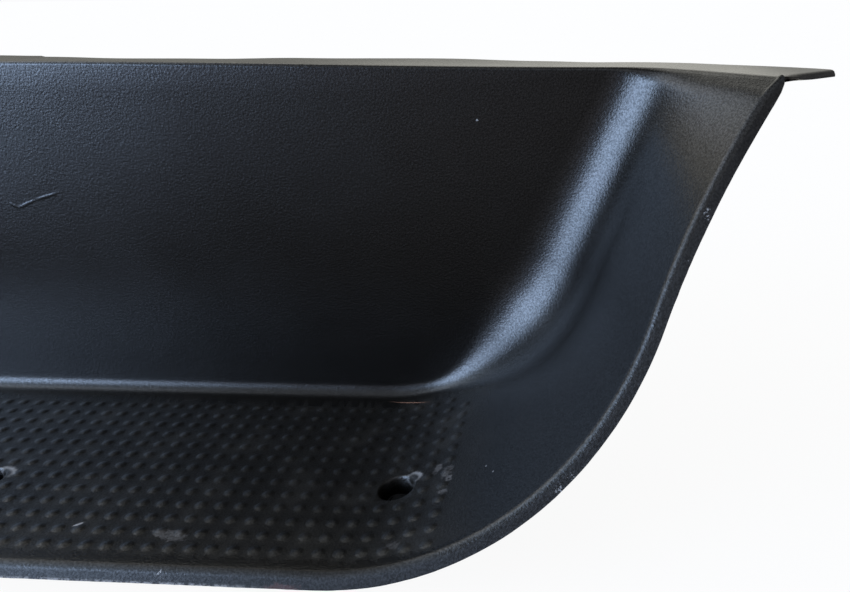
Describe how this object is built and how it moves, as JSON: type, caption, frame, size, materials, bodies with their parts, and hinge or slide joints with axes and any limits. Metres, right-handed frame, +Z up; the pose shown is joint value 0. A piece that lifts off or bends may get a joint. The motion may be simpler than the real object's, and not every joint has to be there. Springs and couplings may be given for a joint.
{
  "type": "van door step trim",
  "caption": "Moulded black step trim for a van's side door: bumped tread, riser, flared end walls and top flange, with push rivets, washers, seals and pads.",
  "frame": {"origin": "middle of the width, on the underside of the front edge seal, in the plane of the vehicle's step panel", "axes": "+Z up, +X along the door opening, -Y out of the vehicle, towards the person who steps in"},
  "size_m": [0.8632, 0.1905, 0.2262],
  "materials": {
    "trim_plastic": "fine moulded grain, satin black, worn at the edges",
    "rivet_nylon": "satin black nylon",
    "washer_rubber": "matt black rubber",
    "pad_foam": "dense charcoal foam rubber",
    "seal_foam": "soft grey foam rubber"
  },
  "bodies": {
    "trim": {"step_shell": "trim_plastic", "tread_rivet_sleeve_left": "rivet_nylon", "tread_rivet_sleeve_centre": "rivet_nylon", "tread_rivet_sleeve_right": "rivet_nylon", "sealing_washer_left": "washer_rubber", "sealing_washer_centre": "washer_rubber", "sealing_washer_right": "washer_rubber", "tread_support_pad_left": "pad_foam", "tread_support_pad_right": "pad_foam", "riser_pad_left": "pad_foam", "riser_pad_centre": "pad_foam", "riser_pad_right": "pad_foam", "front_edge_seal": "seal_foam", "flange_seal_back": "seal_foam", "flange_seal_left": "seal_foam", "flange_seal_right": "seal_foam"},
    "rivet_pin_left": {"tread_rivet_pin_left": "rivet_nylon"},
    "rivet_pin_centre": {"tread_rivet_pin_centre": "rivet_nylon"},
    "rivet_pin_right": {"tread_rivet_pin_right": "rivet_nylon"}
  },
  "joints": [
    {"name": "rivet_pin_left_slide", "type": "slide", "parent": "trim", "child": "rivet_pin_left", "axis": [0, 0, 1], "range_m": [0, 0.007]},
    {"name": "rivet_pin_centre_slide", "type": "slide", "parent": "trim", "child": "rivet_pin_centre", "axis": [0, 0, 1], "range_m": [0, 0.007]},
    {"name": "rivet_pin_right_slide", "type": "slide", "parent": "trim", "child": "rivet_pin_right", "axis": [0, 0, 1], "range_m": [0, 0.007]}
  ]
}
